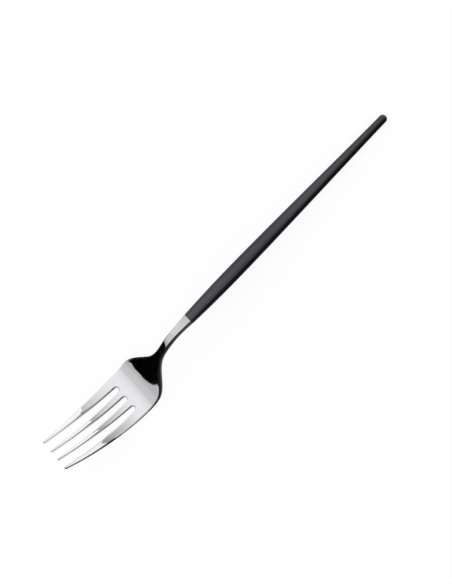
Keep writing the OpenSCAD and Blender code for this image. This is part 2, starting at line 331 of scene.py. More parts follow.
def tine_row(tine, u):
    """Places across one tine between its rounded edges."""
    r = edge_radius(u)
    low = tine_side(tine, -1, u) + r * side_inward(tine, -1, u)[..., 1]
    high = tine_side(tine, 1, u) + r * side_inward(tine, 1, u)[..., 1]
    return low + (high - low) * np.linspace(0, 1, TINE_CELLS + 1)


def root_row():
    """Places round the four roots and the three slot ends, as places along and across."""
    us, vs = [], []
    for tine in range(4):
        row = tine_row(tine, np.array(ROOT))
        us.append(np.full(row.shape, ROOT))
        vs.append(row)
        if tine < 3:
            a, b = tine_side(tine, 1, ROOT), tine_side(tine + 1, -1, ROOT)
            u, v, inward = arc_outline(a, b, ROOT, SLOT_CELLS, 1)
            us.append(u + inward[:, 0] * edge_radius(u))
            vs.append(v + inward[:, 1] * edge_radius(u))
    return np.concatenate(us), np.concatenate(vs)


ROOT_U, ROOT_V = root_row()


def edge_place(u):
    """Where the inner line of the body's rounded edge lies."""
    inward = side_inward(3, 1, u)
    return u + inward[..., 0] * edge_radius(u), half_width(u) + inward[..., 1] * edge_radius(u)


def body_rows():
    """Places of every row of the body but the last, each like the root row but less bent."""
    u = SHOULDER + BODY * LAST_ROW * (np.arange(BODY_ROWS) / (BODY_ROWS - 1)) ** CROWDING
    edge_u, edge_v = edge_place(u)
    share = ROOT_V / ROOT_V[-1]
    pull = ease(u, ROOT - WARP * SLOT_W, ROOT, 3)
    us = u[:, None] + (edge_u - u)[:, None] * share ** 2 + pull[:, None] * (ROOT_U - ROOT_U[0])
    return u, us, share * edge_v[:, None]


print("points round the root row:", len(ROOT_U))

# %% Gather the patches
patches = []
row_u, body_u, body_v = body_rows()
all_u, all_v = np.vstack((body_u, ROOT_U)), np.vstack((body_v, ROOT_V))
body_span = np.append(edge_place(row_u)[1], ROOT_V[-1])[:, None]
for face in (1, -1):
    body = face_patch(all_u, all_v, face, ROOT_V / ROOT_V[-1], body_span)
    patches.append((body, face > 0))
side_u = np.append(row_u, ROOT)
tine_u = np.linspace(ROOT, TIP_ROUND, TINE_ROWS)
tine_share = np.linspace(-1, 1, TINE_CELLS + 1)
for tine, side in ((0, -1), (3, 1)):
    patches.append((side_patch(tine, side, side_u), side > 0))
for tine in range(4):
    for side in (-1, 1):
        patches.append((side_patch(tine, side, tine_u), side > 0))
    tip = arc_patch((tine, -1), (tine, 1), TIP_CELLS, -1, TIP_ROUND)
    patches.append((tip, False))
    across_tine = np.array([tine_row(tine, u) for u in tine_u[:-1]])
    tine_span = half_span(tine, tine_u[:-1] + PAST_ROOT)[:, None]
    for face in (1, -1):
        rows = face_patch(tine_u[:-1, None], across_tine, face, tine_share, tine_span)
        last = [part[:, FACE_END[face]][None] for part in tip]
        patches.append((tuple(np.concatenate((rows[i], last[i])) for i in range(3)), face > 0))
for slot in range(3):
    patches.append((arc_patch((slot, 1), (slot + 1, -1), SLOT_CELLS, 1, ROOT), False))
print("patches:", len(patches), "points:", sum(p[0][2].size for p in patches))

# %% [markdown]
# ## The tang
# Behind the shoulder the same steel runs on as a flat bar with notches along both sides, which
# key it into the cement. It never shows, but the head would not be whole without it. Rings with
# as many points as the shoulder's own ring carry the skin on over the notches to the tang's end.

# %% Rings from the shoulder to the tang's end
TANG_L, TANG_W, TANG_T = 62.0, 2.8, 1.9
NOTCHES, NOTCH_L, NOTCH_DEPTH, NOTCH_PITCH, FIRST_NOTCH = 4, 3.0, 0.4, 11, 14
LEAD_L, LEAD_W = 4, 0.6
top_row, bottom_row = patches[0][0][0][0], patches[1][0][0][0]
left_rim, right_rim = patches[2][0][0][0], patches[3][0][0][0]
shoulder_ring = np.concatenate((top_row, right_rim[1:-1], bottom_row[::-1], left_rim[1:-1][::-1]))


def tang_ring(u, width):
    """The shoulder's ring drawn in to a rectangle, point for point."""
    share = ROOT_V / ROOT_V[-1]
    drop = np.linspace(1, -1, len(right_rim))[1:-1]
    y = np.concatenate((share, np.ones_like(drop), share[::-1], -np.ones_like(drop))) * width / 2
    z = np.concatenate((np.ones_like(share), drop, -np.ones_like(share), drop[::-1])) * TANG_T / 2
    return np.stack((np.full_like(y, u), y, z), -1)


def tang_profile():
    """Places and widths along the tang: plain, four notches a side, and a tapered lead-in."""
    yield SHOULDER, TANG_W
    waist = TANG_W - 2 * NOTCH_DEPTH
    for notch in range(NOTCHES):
        middle = SHOULDER - FIRST_NOTCH - NOTCH_PITCH * notch
        for side, width in ((1, TANG_W), (1, waist), (-1, waist), (-1, TANG_W)):
            yield middle + side * NOTCH_L / 2, width
    yield SHOULDER - TANG_L + LEAD_L, TANG_W
    yield SHOULDER - TANG_L, TANG_W - 2 * LEAD_W


tang_rings = [shoulder_ring] + [tang_ring(u, width) for u, width in tang_profile()]
print("tang rings:", len(tang_rings), "of", len(shoulder_ring), "points")

# %% [markdown]
# ## How the fork lies
# A fork on a table touches it in two places, under the end of its handle and under its bowl. The
# solid model tips the fork until both touch. The same small sum is repeated here, so the finer
# meshes lie exactly where the solids do.

# %% Find the lie of the fork
END_R = 1.9
SPINE_STEPS = 2000


def rest_place():
    """The angle, lift and shift that set the handle's end and the bowl on the table."""
    u = np.linspace(SHOULDER, TIP, SPINE_STEPS)
    under = steel_point(u, 0.0, -thickness(u) / 2)
    run = under[:, 0] - END_R
    angle = np.max(np.arctan2(-under[:, 2], run) - np.arcsin(END_R / np.hypot(run, under[:, 2])))
    tip = steel_point(TIP, 0.0, 0.0)
    far = tip[0] * math.cos(angle) - tip[2] * math.sin(angle)
    return angle, END_R * (1 - math.sin(angle)), (far + END_R * (math.cos(angle) - 1)) / 2


REST, LIFT, MIDDLE = rest_place()


def at_rest(points):
    """Points along the handle's axis, in millimetres, to the row frame, in metres."""
    x, y, z = np.moveaxis(np.asarray(points), -1, 0)
    c, s = math.cos(REST), math.sin(REST)
    return np.stack((x * c - z * s - MIDDLE, y, x * s + z * c + LIFT), -1) * MM


def turned(normals):
    x, y, z = np.moveaxis(np.asarray(normals), -1, 0)
    c, s = math.cos(REST), math.sin(REST)
    return np.stack((x * c - z * s, y, x * s + z * c), -1)


print("tipped by", round(math.degrees(REST), 3), "degrees, lifted", round(LIFT, 3), "mm")

# %% Sew the head together
# Points that agree to this many decimals of a millimetre are merged
SAME_DECIMALS = 5


def grid_faces(rows, columns, start, forward, closed=False):
    """Four-cornered faces between rows of points."""
    index = start + np.arange(rows * columns).reshape(rows, columns)
    if closed:
        index = np.hstack((index, index[:, :1]))
    a, b, c, d = index[:-1, :-1], index[1:, :-1], index[1:, 1:], index[:-1, 1:]
    quads = np.stack((a, b, c, d) if forward else (a, d, c, b), -1)
    return quads.reshape(-1, 4)


def sew_head():
    """One mesh from all patches and rings, its equal points merged and its directions set."""
    points, normals, marks, faces, start = [], [], [], [], 0
    for (p, n, mark), forward in patches:
        points.append(p.reshape(-1, 3))
        normals.append(n.reshape(-1, 3))
        marks.append(mark.ravel())
        faces.append(grid_faces(*p.shape[:2], start, forward))
        start += p.shape[0] * p.shape[1]
    smooth_faces = sum(len(f) for f in faces)
    rings = np.array(tang_rings)
    points.append(rings.reshape(-1, 3))
    normals.append(np.tile((-1.0, 0.0, 0.0), (rings.shape[0] * rings.shape[1], 1)))
    marks.append(np.full(rings.shape[0] * rings.shape[1], TANG_MARK))
    faces.append(grid_faces(*rings.shape[:2], start, False, closed=True))
    end_ring = start + (rings.shape[0] - 1) * rings.shape[1] + np.arange(rings.shape[1])
    points, normals, marks = np.concatenate(points), np.concatenate(normals), np.concatenate(marks)
    _, first, same = np.unique(points.round(SAME_DECIMALS), axis=0,
                               return_index=True, return_inverse=True)
    same = same.ravel()
    quads = [[c for k, c in enumerate(face) if c != face[k - 1]]
             for face in same[np.concatenate(faces)].tolist()]
    quads.append(same[end_ring].tolist())
    mesh = bpy.data.meshes.new("Steel head")
    mesh.from_pydata(at_rest(points[first]).tolist(), [], [q for q in quads if len(q) > 2])
    mesh.validate()
    mark = mesh.attributes.new("edge_mark", "FLOAT", "POINT")
    mark.data.foreach_set("value", marks[first].astype(np.float32))
    mesh.shade_smooth()
    aim = turned(normals[first])
    loop_vertex = np.empty(len(mesh.loops), np.int32)
    mesh.loops.foreach_get("vertex_index", loop_vertex)
    loop_normals = aim[loop_vertex]
    for polygon in mesh.polygons:
        if polygon.index >= smooth_faces:
            corners = slice(polygon.loop_start, polygon.loop_start + polygon.loop_total)
            loop_normals[corners] = polygon.normal
    mesh.normals_split_custom_set(loop_normals.tolist())
    return mesh


def signed_volume(mesh):
    """Cubic millimetres inside a mesh: negative if inside out, and exact only if closed."""
    mesh.calc_loop_triangles()
    corners = np.array([[mesh.vertices[i].co[:] for i in t.vertices] for t in mesh.loop_triangles])
    boxes = np.einsum("ij,ij->i", corners[:, 0], np.cross(corners[:, 1], corners[:, 2]))
    return float(boxes.sum() / 6 / MM ** 3)


def open_edges(mesh):
    """How many edges don't join exactly two faces."""
    count = {}
    for polygon in mesh.polygons:
        for key in polygon.edge_keys:
            count[key] = count.get(key, 0) + 1
    return sum(n != 2 for n in count.values())


head = bpy.data.objects.new("Steel_head", sew_head())
scene.collection.objects.link(head)
print("head:", len(head.data.polygons), "faces,", open_edges(head.data), "open edges,",
      round(signed_volume(head.data)), "cubic mm")

# %% [markdown]
# ## The handle follows a rule too
# The handle is a moulding whose section is a rectangle with round corners. It grows from a small
# round end to a widest place, and then narrows to the steel. That is a rule, so Geometry Nodes
# draw it: a flat grid is bent so that its rows become rings. The last rows turn in at the mouth
# and line the socket that holds the tang. First come two helpers that write sums as nodes.

# %% Helpers for sums in nodes


class Sums:
    """Adds Math nodes to a tree, so that a sum reads as a sum."""

    def __init__(self, tree):
        self.tree = tree

    def math(self, operation, *values):
        node = self.tree.nodes.new("ShaderNodeMath")
        node.operation = operation
        for socket, value in zip(node.inputs, values):
            if isinstance(value, (int, float)):
                socket.default_value = value
            else:
                self.tree.links.new(value, socket)
        return node.outputs[0]

    def plus(self, a, b):
        return self.math("ADD", a, b)

    def minus(self, a, b):
        return self.math("SUBTRACT", a, b)

    def times(self, a, b):
        return self.math("MULTIPLY", a, b)

    def over(self, a, b):
        return self.math("DIVIDE", a, b)

    def mix(self, a, b, share):
        """a where share is 0, b where it is 1."""
        return self.math("MULTIPLY_ADD", self.minus(b, a), share, a)

    def held(self, value, low=0, high=1):
        return self.math("MINIMUM", self.math("MAXIMUM", value, low), high)

    def ease(self, u, start, end, leave, arrive):
        share = self.held(self.over(self.minus(u, start), self.minus(end, start)))
        left = self.minus(1, self.math("POWER", share, leave))
        return self.minus(1, self.math("POWER", left, arrive))


HANDLE_SIZES = {
    "Length": HANDLE_L * MM, "End diameter": 3.8 * MM, "Widest place": 97 * MM,
    "Width": 6.7 * MM, "Thickness": 4.6 * MM, "Corner": 1.9 * MM,
    "Mouth width": SHOULDER_W * MM, "Mouth thickness": SHOULDER_T * MM,
    "Mouth corner": SHOULDER_EDGE * MM,
    "Socket length": 63.5 * MM, "Socket width": 3.2 * MM, "Socket thickness": 2.3 * MM,
    "Mouth bevel": 0.06 * MM,
}
SOCKET_CORNER, MERGE_DISTANCE = 0.08 * MM, 0.0002 * MM
# A corner's radius as the largest share of a ring's smaller size, so that a flat is left
LARGEST_CORNER = 0.4999
END_ROWS, LONG_ROWS, CORNER_CELLS = 16, 220, 10
# After the long rows come the mouth's bevel, the socket's mouth, its bottom and its closed end
OUTSIDE_ROWS, SOCKET_ROWS = END_ROWS + LONG_ROWS, 5
print("handle sizes:", len(HANDLE_SIZES))

# %% The handle's node tree


def handle_tree():
    """A grid of rows and columns, bent row by row into rings."""
    tree = bpy.data.node_groups.new("Moulded handle", "GeometryNodeTree")
    tree.interface.new_socket("Geometry", in_out="OUTPUT", socket_type="NodeSocketGeometry")
    for name in HANDLE_SIZES:
        tree.interface.new_socket(name, in_out="INPUT", socket_type="NodeSocketFloat")
    tree.interface.new_socket("Place", in_out="INPUT", socket_type="NodeSocketVector")
    tree.interface.new_socket("Turn", in_out="INPUT", socket_type="NodeSocketVector")
    tree.interface.new_socket("Finish", in_out="INPUT", socket_type="NodeSocketMaterial")
    new, link = tree.nodes.new, tree.links.new
    given = new("NodeGroupInput").outputs
    s = Sums(tree)
    rows, columns = OUTSIDE_ROWS + SOCKET_ROWS, 4 * (CORNER_CELLS + 1) + 1

    sheet = new("GeometryNodeMeshGrid")
    for name, value in (("Size X", rows - 1), ("Size Y", columns - 1),
                        ("Vertices X", rows), ("Vertices Y", columns)):
        sheet.inputs[name].default_value = value
    where = new("ShaderNodeSeparateXYZ")
    link(new("GeometryNodeInputPosition").outputs[0], where.inputs[0])
    row = s.math("ROUND", s.plus(where.outputs[0], (rows - 1) / 2))
    column = s.math("ROUND", s.plus(where.outputs[1], (columns - 1) / 2))
    column = s.math("MODULO", column, columns - 1)

    end_r = s.over(given["End diameter"], 2)
    end_turn = s.times(s.math("MINIMUM", row, END_ROWS), math.pi / 2 / END_ROWS)
    end_u = s.times(end_r, s.minus(1, s.math("COSINE", end_turn)))
    share = s.held(s.over(s.minus(row, END_ROWS), LONG_ROWS))
    u = s.plus(end_u, s.times(share, s.minus(given["Length"], end_r)))
    swell = s.ease(u, end_r, given["Widest place"], 1.3, 1.6)
    soften = s.ease(u, end_r, given["Widest place"], 1, 3)
    waist = s.ease(u, given["Widest place"], given["Length"], 2.2, 1)
    shrink = s.math("SINE", end_turn)

    def along_handle(end, belly, mouth, rise):
        size = s.mix(s.mix(end, given[belly], rise), given[mouth], waist)
        return s.times(size, shrink)

    in_mouth = s.math("GREATER_THAN", row, OUTSIDE_ROWS + 0.5)
    in_socket = s.math("GREATER_THAN", row, OUTSIDE_ROWS + 1.5)
    at_bottom = s.math("GREATER_THAN", row, OUTSIDE_ROWS + 2.5)
    closing = s.math("GREATER_THAN", row, OUTSIDE_ROWS + 3.5)
    open_size = s.minus(1, closing)

    def sized(outside, socket_size):
        bevel = s.times(in_mouth, s.times(given["Mouth bevel"], 2))
        bevelled = s.minus(outside, bevel)
        return s.times(s.mix(bevelled, socket_size, in_socket), open_size)

    wide = along_handle(given["End diameter"], "Width", "Mouth width", swell)
    wide = sized(wide, given["Socket width"])
    thick = along_handle(given["End diameter"], "Thickness", "Mouth thickness", swell)
    thick = sized(thick, given["Socket thickness"])
    corner = sized(along_handle(end_r, "Corner", "Mouth corner", soften), SOCKET_CORNER)
    smaller = s.math("MINIMUM", wide, thick)
    corner = s.math("MINIMUM", corner, s.times(smaller, LARGEST_CORNER))
    at_rim = s.math("GREATER_THAN", row, OUTSIDE_ROWS - 0.5)
    bevel_back = s.times(at_rim, s.minus(1, in_mouth))
    u = s.minus(u, s.times(bevel_back, given["Mouth bevel"]))
    u = s.minus(u, s.times(at_bottom, given["Socket length"]))

    quarter = s.math("FLOOR", s.over(column, CORNER_CELLS + 1))
    step = s.minus(column, s.times(quarter, CORNER_CELLS + 1))
    turn = s.times(s.plus(quarter, s.over(step, CORNER_CELLS)), math.pi / 2)
    sign_y = s.minus(1, s.times(2, s.math("COMPARE", quarter, 1.5, 0.6)))
    sign_z = s.minus(1, s.times(2, s.math("GREATER_THAN", quarter, 1.5)))

    def on_ring(size, sign, wave):
        flat = s.times(sign, s.minus(s.over(size, 2), corner))
        return s.math("MULTIPLY_ADD", corner, s.math(wave, turn), flat)

    ring = new("ShaderNodeCombineXYZ")
    link(u, ring.inputs[0])
    link(on_ring(wide, sign_y, "COSINE"), ring.inputs[1])
    link(on_ring(thick, sign_z, "SINE"), ring.inputs[2])
    bend = new("GeometryNodeSetPosition")
    merge = new("GeometryNodeMergeByDistance")
    merge.inputs["Distance"].default_value = MERGE_DISTANCE
    lay = new("GeometryNodeTransform")
    realize = new("GeometryNodeRealizeInstances")
    coat = new("GeometryNodeSetMaterial")
    link(sheet.outputs["Mesh"], bend.inputs["Geometry"])
    link(ring.outputs[0], bend.inputs["Position"])
    link(bend.outputs[0], merge.inputs["Geometry"])
    link(merge.outputs[0], lay.inputs["Geometry"])
    link(given["Place"], lay.inputs["Translation"])
    link(given["Turn"], lay.inputs["Rotation"])
    link(lay.outputs[0], realize.inputs[0])
    link(realize.outputs[0], coat.inputs["Geometry"])
    link(given["Finish"], coat.inputs["Material"])
    link(coat.outputs[0], new("NodeGroupOutput").inputs[0])
    return tree


tree = handle_tree()
print("handle tree:", len(tree.nodes), "nodes")

# %% [markdown]
# ## The finishes
# Three finishes are needed. The steel is a mirror on its faces, and its edges and the slots'
# walls are satin, as a buffing wheel hardly reaches them; the neck's mirror is darkened with
# painted shade, and the edges' colour is painted shade, with painted light on the inner tines and
# a painted reflection on the underside. The handle is a satin black resin with a very fine grain,
# with a painted sheen along its top and painted shade on its sides. The cement is a cured amber
# epoxy. How light the edges and the resin are along the fork was chosen to follow the photograph.

# %% Material helpers


def new_material(name):
    material = bpy.data.materials.new(name)
    material.use_nodes = True
    return material, material.node_tree, material.node_tree.nodes["Principled BSDF"]


def object_noise(tree, scale, detail=3.0, stretch=(1, 1, 1), roughness=0.5):
    """Noise that stays on the piece, because it reads the object's own coordinates."""
    coords = tree.nodes.new("ShaderNodeTexCoord")
    mapping = tree.nodes.new("ShaderNodeMapping")
    mapping.inputs["Scale"].default_value = stretch
    noise = tree.nodes.new("ShaderNodeTexNoise")
    noise.inputs["Scale"].default_value = scale
    noise.inputs["Detail"].default_value = detail
    noise.inputs["Roughness"].default_value = roughness
    tree.links.new(coords.outputs["Object"], mapping.inputs["Vector"])
    tree.links.new(mapping.outputs[0], noise.inputs["Vector"])
    return noise.outputs["Fac"]


def spread(tree, value, low, high, from_low=0.3, from_high=0.7):
    """A value moved to a new range."""
    node = tree.nodes.new("ShaderNodeMapRange")
    for name, number in (("From Min", from_low), ("From Max", from_high),
                         ("To Min", low), ("To Max", high)):
        node.inputs[name].default_value = number
    tree.links.new(value, node.inputs["Value"])
    return node.outputs[0]


def rising(tree, value, start, end):
    """0 up to start, 1 from end on."""
    return spread(tree, value, 0, 1, start, end)


def falling(tree, value, start, end):
    """1 up to start, 0 from end on."""
    return spread(tree, value, 1, 0, start, end)


def bump(tree, height, distance, strength, shader):
    node = tree.nodes.new("ShaderNodeBump")
    node.inputs["Distance"].default_value = distance
    node.inputs["Strength"].default_value = strength
    tree.links.new(height, node.inputs["Height"])
    tree.links.new(node.outputs[0], shader.inputs["Normal"])


def colour_mix(tree, share, low, high):
    node = tree.nodes.new("ShaderNodeMix")
    node.data_type = "RGBA"
    tree.links.new(share, node.inputs["Factor"])
    node.inputs[6].default_value = (*low, 1)
    node.inputs[7].default_value = (*high, 1)
    return node.outputs[2]


def steps_along(tree, value, steps, reach, top):
    """A level read off a row of (place, level) steps, for places from -reach to reach."""
    node = tree.nodes.new("ShaderNodeValToRGB")
    ramp = node.color_ramp
    while len(ramp.elements) < len(steps):
        ramp.elements.new(0.5)
    for element, (place, level) in zip(ramp.elements, steps):
        element.position = (place + reach) / (2 * reach)
        element.color = (level / top, level / top, level / top, 1)
    sums = Sums(tree)
    tree.links.new(sums.math("MULTIPLY_ADD", value, 0.5 / reach, 0.5), node.inputs[0])
    return sums.times(node.outputs[0], top)


# %% Where the steel's edges are satin, and where their colour carries painted shade
# How far both ramps below reach from the middle of the fork, in metres
RAMP_REACH = 0.12
# Painted shade: how light the satin edges look in the photograph at a few places along the fork, in
# metres
SATIN_PAINTED_SHADE = ((0.020, 0.060), (0.028, 0.050), (0.036, 0.015), (0.045, 0.006), (0.050, 0.020),
         (0.060, 0.014), (0.085, 0.020), (0.100, 0.080))
# The satin starts late in the neck, early in the bowl and late again on the tines, in edge marks
NECK_START, BOWL_START, TINE_START = 0.50, 0.05, 0.90
NECK_ENDS, TINES_START = (0.026, 0.034), (0.052, 0.064)
# Across the fork, in metres, the +Y outer tine begins here
OUTER_TINE = (0.0065, 0.0075)
# Along the fork, in metres: where that tine's satin gets wider, and where it is widest
OUTER_WIDE, WIDEST_FROM, WIDEST_TO = (0.0795, 0.084), (0.082, 0.084), (0.0865, 0.0880)
WIDE, WIDEST = 0.35, 0.65
# Where the other tines' satin gets lighter with painted light and narrower, and where the
# underside's painted reflection ends
OTHERS_LIGHTER, UNDER_END = (0.083, 0.090), (0.054, 0.060)
NARROWER, OTHERS_PAINTED_LIGHT, UNDER_PAINTED_REFLECTION = 0.06, 0.28, 0.14
EDGE_FADE = 0.095


def satin_start(tree, sums, x, outermost, between):
    """The edge mark at which satin, and the painted shade in its colour, takes over from the
    mirror.
    """
    start = sums.math("MAXIMUM", spread(tree, x, NECK_START, BOWL_START, *NECK_ENDS),
                      spread(tree, x, BOWL_START, TINE_START, *TINES_START))
    dash = sums.times(rising(tree, x, *WIDEST_FROM), falling(tree, x, *WIDEST_TO))
    start = sums.minus(start, sums.times(outermost, sums.mix(WIDE, WIDEST, dash)))
    return sums.plus(start, sums.times(between, NARROWER))


def satin_edges_and_painted_shade(tree, sums, x, y):
    """How satin each point is, and the painted shade of its colour on top, lightened by a painted
    reflection on the underside.
    """
    mark = tree.nodes.new("ShaderNodeAttribute")
    mark.attribute_name = "edge_mark"
    depth = mark.outputs["Fac"]
    outermost = sums.times(rising(tree, y, *OUTER_TINE), rising(tree, x, *OUTER_WIDE))
    between = sums.times(falling(tree, y, *OUTER_TINE), rising(tree, x, *OTHERS_LIGHTER))
    start = satin_start(tree, sums, x, outermost, between)
    nearest = sums.math("MINIMUM", depth, sums.minus(BOTTOM_MARK, depth))
    edge = sums.held(sums.over(sums.minus(nearest, start), EDGE_FADE))
    under = sums.math("POWER", sums.held(sums.minus(depth, 1)), 1.5)
    under = sums.times(under, falling(tree, x, *UNDER_END))
    light = sums.mix(steps_along(tree, x, SATIN_PAINTED_SHADE, RAMP_REACH, 1), OTHERS_PAINTED_LIGHT, between)
    return edge, sums.mix(light, UNDER_PAINTED_REFLECTION, under)


print("satin steps:", len(SATIN_PAINTED_SHADE))

# %% Polished steel
# The neck's mirror colour is darker than the head's: painted shade
MIRROR_NECK_PAINTED_SHADE, MIRROR_HEAD = (0.51, 0.51, 0.513), (0.81, 0.81, 0.83)
SATIN_ROUGHNESS, SATIN_TINT = 0.32, (0.45, 0.45, 0.45)


def polished_steel():
    """Mirror faces with hairline wiping marks, the neck's mirror darkened with painted shade, and
    satin edges where the edge mark is high, their colour painted shade.
    """
    material, tree, shader = new_material("Polished steel")
    sums = Sums(tree)
    place = tree.nodes.new("ShaderNodeSeparateXYZ")
    tree.links.new(tree.nodes.new("ShaderNodeTexCoord").outputs["Object"], place.inputs[0])
    x, y = place.outputs[0], place.outputs[1]
    # The edges' colour: painted shade, painted light on the inner tines, and a painted reflection
    # on the underside
    edge, satin = satin_edges_and_painted_shade(tree, sums, x, y)
    haze = spread(tree, object_noise(tree, 90, 4), 0.03, 0.052)
    hairlines = object_noise(tree, 900, 2, (0.06, 1, 1), 0.6)
    polish = sums.plus(haze, spread(tree, hairlines, 0, 0.014, 0.5, 0.75))
    tree.links.new(sums.mix(polish, SATIN_ROUGHNESS, edge), shader.inputs["Roughness"])
    bright = colour_mix(tree, rising(tree, x, 0.018, 0.031), MIRROR_NECK_PAINTED_SHADE, MIRROR_HEAD)
    pick = tree.nodes.new("ShaderNodeMix")
    pick.data_type = "RGBA"
    tree.links.new(edge, pick.inputs["Factor"])
    tree.links.new(bright, pick.inputs[6])
    tree.links.new(satin, pick.inputs[7])
    tree.links.new(pick.outputs[2], shader.inputs["Base Color"])
    # The satin tint darkens the edges' reflections further: painted shade
    tint = colour_mix(tree, edge, (1, 1, 1), SATIN_TINT)
    tree.links.new(tint, shader.inputs["Specular Tint"])
    shader.inputs["Metallic"].default_value = 1.0
    bump(tree, hairlines, 0.00002, 0.02, shader)
    return material


# %% Satin resin and cement
# Painted sheen: how light the resin's top looks in the photograph at a few places along the handle,
# in metres
RESIN_PAINTED_SHEEN_STEPS = ((-0.100, 0.50), (-0.053, 0.82), (-0.035, 0.49), (-0.016, 0.64), (0.0065, 0.98))
# The light resin colour is a painted sheen for the top, and the side colour is painted shade
RESIN_DARK, RESIN_CLOUD = (0.0160, 0.0150, 0.0225), (0.0220, 0.0210, 0.0295)
RESIN_PAINTED_SHEEN, RESIN_PAINTED_SIDE_SHADE = (0.056, 0.054, 0.069, 1), (0.004, 0.004, 0.005, 1)


def satin_resin():
    """Black resin: a faint random mottle on top, a painted sheen along the top, and painted shade
    on its sides and towards the top's edges, which are also duller.
    """
    material, tree, shader = new_material("Satin black resin")
    sums = Sums(tree)
    facing = tree.nodes.new("ShaderNodeSeparateXYZ")
    tree.links.new(tree.nodes.new("ShaderNodeTexCoord").outputs["Normal"], facing.inputs[0])
    along = tree.nodes.new("ShaderNodeSeparateXYZ")
    tree.links.new(tree.nodes.new("ShaderNodeTexCoord").outputs["Object"], along.inputs[0])
    # Painted shade on the sides and towards the edges of the top
    painted_edge_shade = spread(tree, sums.math("ABSOLUTE", along.outputs[1]), 0, 0.32, 0.0002, 0.0018)
    painted_side_shade = rising(tree, sums.math("ABSOLUTE", facing.outputs[1]), 0.08, 0.78)
    painted_side_shade = sums.math("MAXIMUM", painted_side_shade, painted_edge_shade)
    grain = object_noise(tree, 2600, 2)
    cloud = object_noise(tree, 140, 3)
    tree.links.new(spread(tree, cloud, 0.36, 0.44), shader.inputs["Roughness"])
    top = colour_mix(tree, cloud, RESIN_DARK, RESIN_CLOUD)
    lighter = tree.nodes.new("ShaderNodeMix")
    lighter.data_type = "RGBA"
    # Painted sheen along the top, set by the steps along the handle
    tone = steps_along(tree, along.outputs[0], RESIN_PAINTED_SHEEN_STEPS, RAMP_REACH, 1)
    tree.links.new(tone, lighter.inputs["Factor"])
    tree.links.new(top, lighter.inputs[6])
    lighter.inputs[7].default_value = RESIN_PAINTED_SHEEN
    pick = tree.nodes.new("ShaderNodeMix")
    pick.data_type = "RGBA"
    tree.links.new(painted_side_shade, pick.inputs["Factor"])
    tree.links.new(lighter.outputs[2], pick.inputs[6])
    pick.inputs[7].default_value = RESIN_PAINTED_SIDE_SHADE
    tree.links.new(pick.outputs[2], shader.inputs["Base Color"])
    tree.links.new(sums.mix(0.5, 0.02, painted_side_shade), shader.inputs["Specular IOR Level"])
    shader.inputs["IOR"].default_value = 1.5
    bump(tree, grain, 0.00003, 0.25, shader)
    return material


def cured_epoxy():
    """Amber epoxy, slightly clouded by its filler."""
    material, tree, shader = new_material("Cured epoxy")
    cloud = object_noise(tree, 300, 4)
    amber = colour_mix(tree, cloud, (0.55, 0.47, 0.30), (0.68, 0.62, 0.46))
    tree.links.new(amber, shader.inputs["Base Color"])
    shader.inputs["Roughness"].default_value = 0.3
    return material


steel, resin, epoxy = polished_steel(), satin_resin(), cured_epoxy()
head.data.materials.append(steel)
print("finishes:", steel.name, "|", resin.name, "|", epoxy.name)

# %% Grow the handle and make it a plain mesh
SHARP_ANGLE = math.radians(35)


def grow_handle():
    """Runs the tree on an empty mesh and keeps its result as a plain mesh."""
    seed = bpy.data.objects.new("Handle seed", bpy.data.meshes.new("Handle seed"))
    scene.collection.objects.link(seed)
    modifier = seed.modifiers.new("Moulded handle", "NODES")
    modifier.node_group = tree
    values = dict(HANDLE_SIZES, Place=(-MIDDLE * MM, 0.0, LIFT * MM), Turn=(0.0, -REST, 0.0),
                  Finish=resin)
    for item in tree.interface.items_tree:
        if item.in_out == "INPUT":
            modifier[item.identifier] = values[item.name]
    grown = seed.evaluated_get(bpy.context.evaluated_depsgraph_get())
    mesh = bpy.data.meshes.new_from_object(grown)
    bpy.data.objects.remove(seed)
    mesh.name = "Black handle"
    mesh.shade_smooth()
    mesh.set_sharp_from_angle(angle=SHARP_ANGLE)
    return mesh


handle = bpy.data.objects.new("Black_handle", grow_handle())
scene.collection.objects.link(handle)
if signed_volume(handle.data) < 0:
    handle.data.flip_normals()
print("handle:", len(handle.data.polygons), "faces,", open_edges(handle.data), "open edges,",
      round(signed_volume(handle.data)), "cubic mm")

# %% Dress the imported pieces
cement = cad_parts["tang_cement"]
for index in range(len(cement.material_slots)):
    cement.material_slots[index].material = epoxy
for piece, node, slot in ((head, "fork_head", "polished_steel"), (handle, "handle", "black_resin")):
    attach(piece, "root")
    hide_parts(node)
    low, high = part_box(node)
    mine = np.array([v.co[:] for v in piece.data.vertices])
    apart = np.abs((mine.min(0) - low, mine.max(0) - high)).max() / MM
    print(node, "box differs by", round(float(apart), 3), "mm")

# %% [markdown]
# ## The studio
# Polished steel shows its surroundings more than itself. A photographer therefore hangs white
# and dark cards round it, and the picture's black and grey fields are taken to be those cards.
# Here the world plays the cards for reflections, while an even white sky lights everything
# softly. The cards' places and brightness were chosen so that the reflections in this
# view follow the photograph's. The floor is plain white and keeps the soft shadow where the fork
# touches it.

